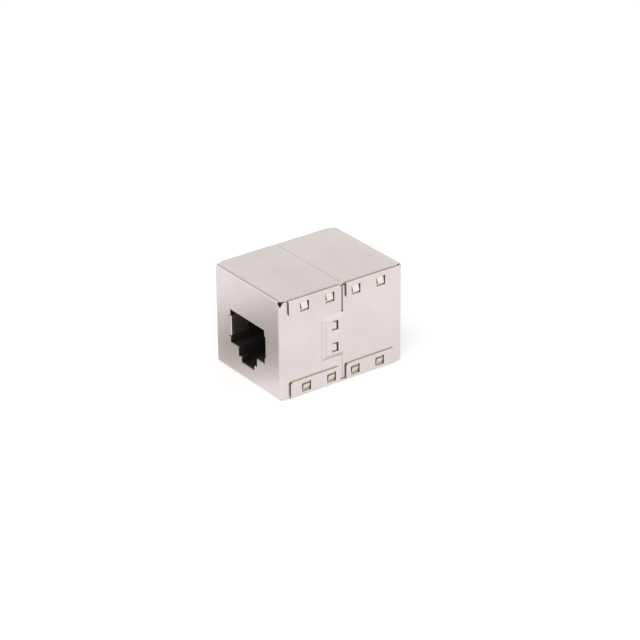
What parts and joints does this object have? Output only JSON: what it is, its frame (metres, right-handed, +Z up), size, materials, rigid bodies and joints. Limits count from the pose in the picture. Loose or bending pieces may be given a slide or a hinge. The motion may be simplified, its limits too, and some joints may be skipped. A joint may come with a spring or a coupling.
{
  "type": "rj45 inline coupler",
  "caption": "Shielded in-line coupler that joins two modular network plugs end to end: two folded metal shells round moulded jack housings, spring contacts and a joining board.",
  "frame": {"origin": "the middle of the bottom face that it rests on", "axes": "+X from port A's end to port B's end, +Y across the coupler away from the pictured side, +Z up, with the latch notches of both ports at the bottom"},
  "size_m": [0.0306, 0.024, 0.0221],
  "materials": {
    "shell_plating": "satin nickel plated sheet",
    "housing_plastic": "black moulded plastic",
    "carrier_plastic": "dark moulded plastic",
    "contact_plating": "gold plated spring wire",
    "board_laminate": "green circuit laminate"
  },
  "bodies": {
    "root": {"shell_a": "shell_plating", "shell_b": "shell_plating", "housing_a": "housing_plastic", "housing_b": "housing_plastic", "carrier_a": "carrier_plastic", "carrier_b": "carrier_plastic", "circuit_board": "board_laminate", "contact_a_1": "contact_plating", "contact_a_2": "contact_plating", "contact_a_3": "contact_plating", "contact_a_4": "contact_plating", "contact_a_5": "contact_plating", "contact_a_6": "contact_plating", "contact_a_7": "contact_plating", "contact_a_8": "contact_plating", "contact_b_1": "contact_plating", "contact_b_2": "contact_plating", "contact_b_3": "contact_plating", "contact_b_4": "contact_plating", "contact_b_5": "contact_plating", "contact_b_6": "contact_plating", "contact_b_7": "contact_plating", "contact_b_8": "contact_plating"}
  },
  "joints": []
}
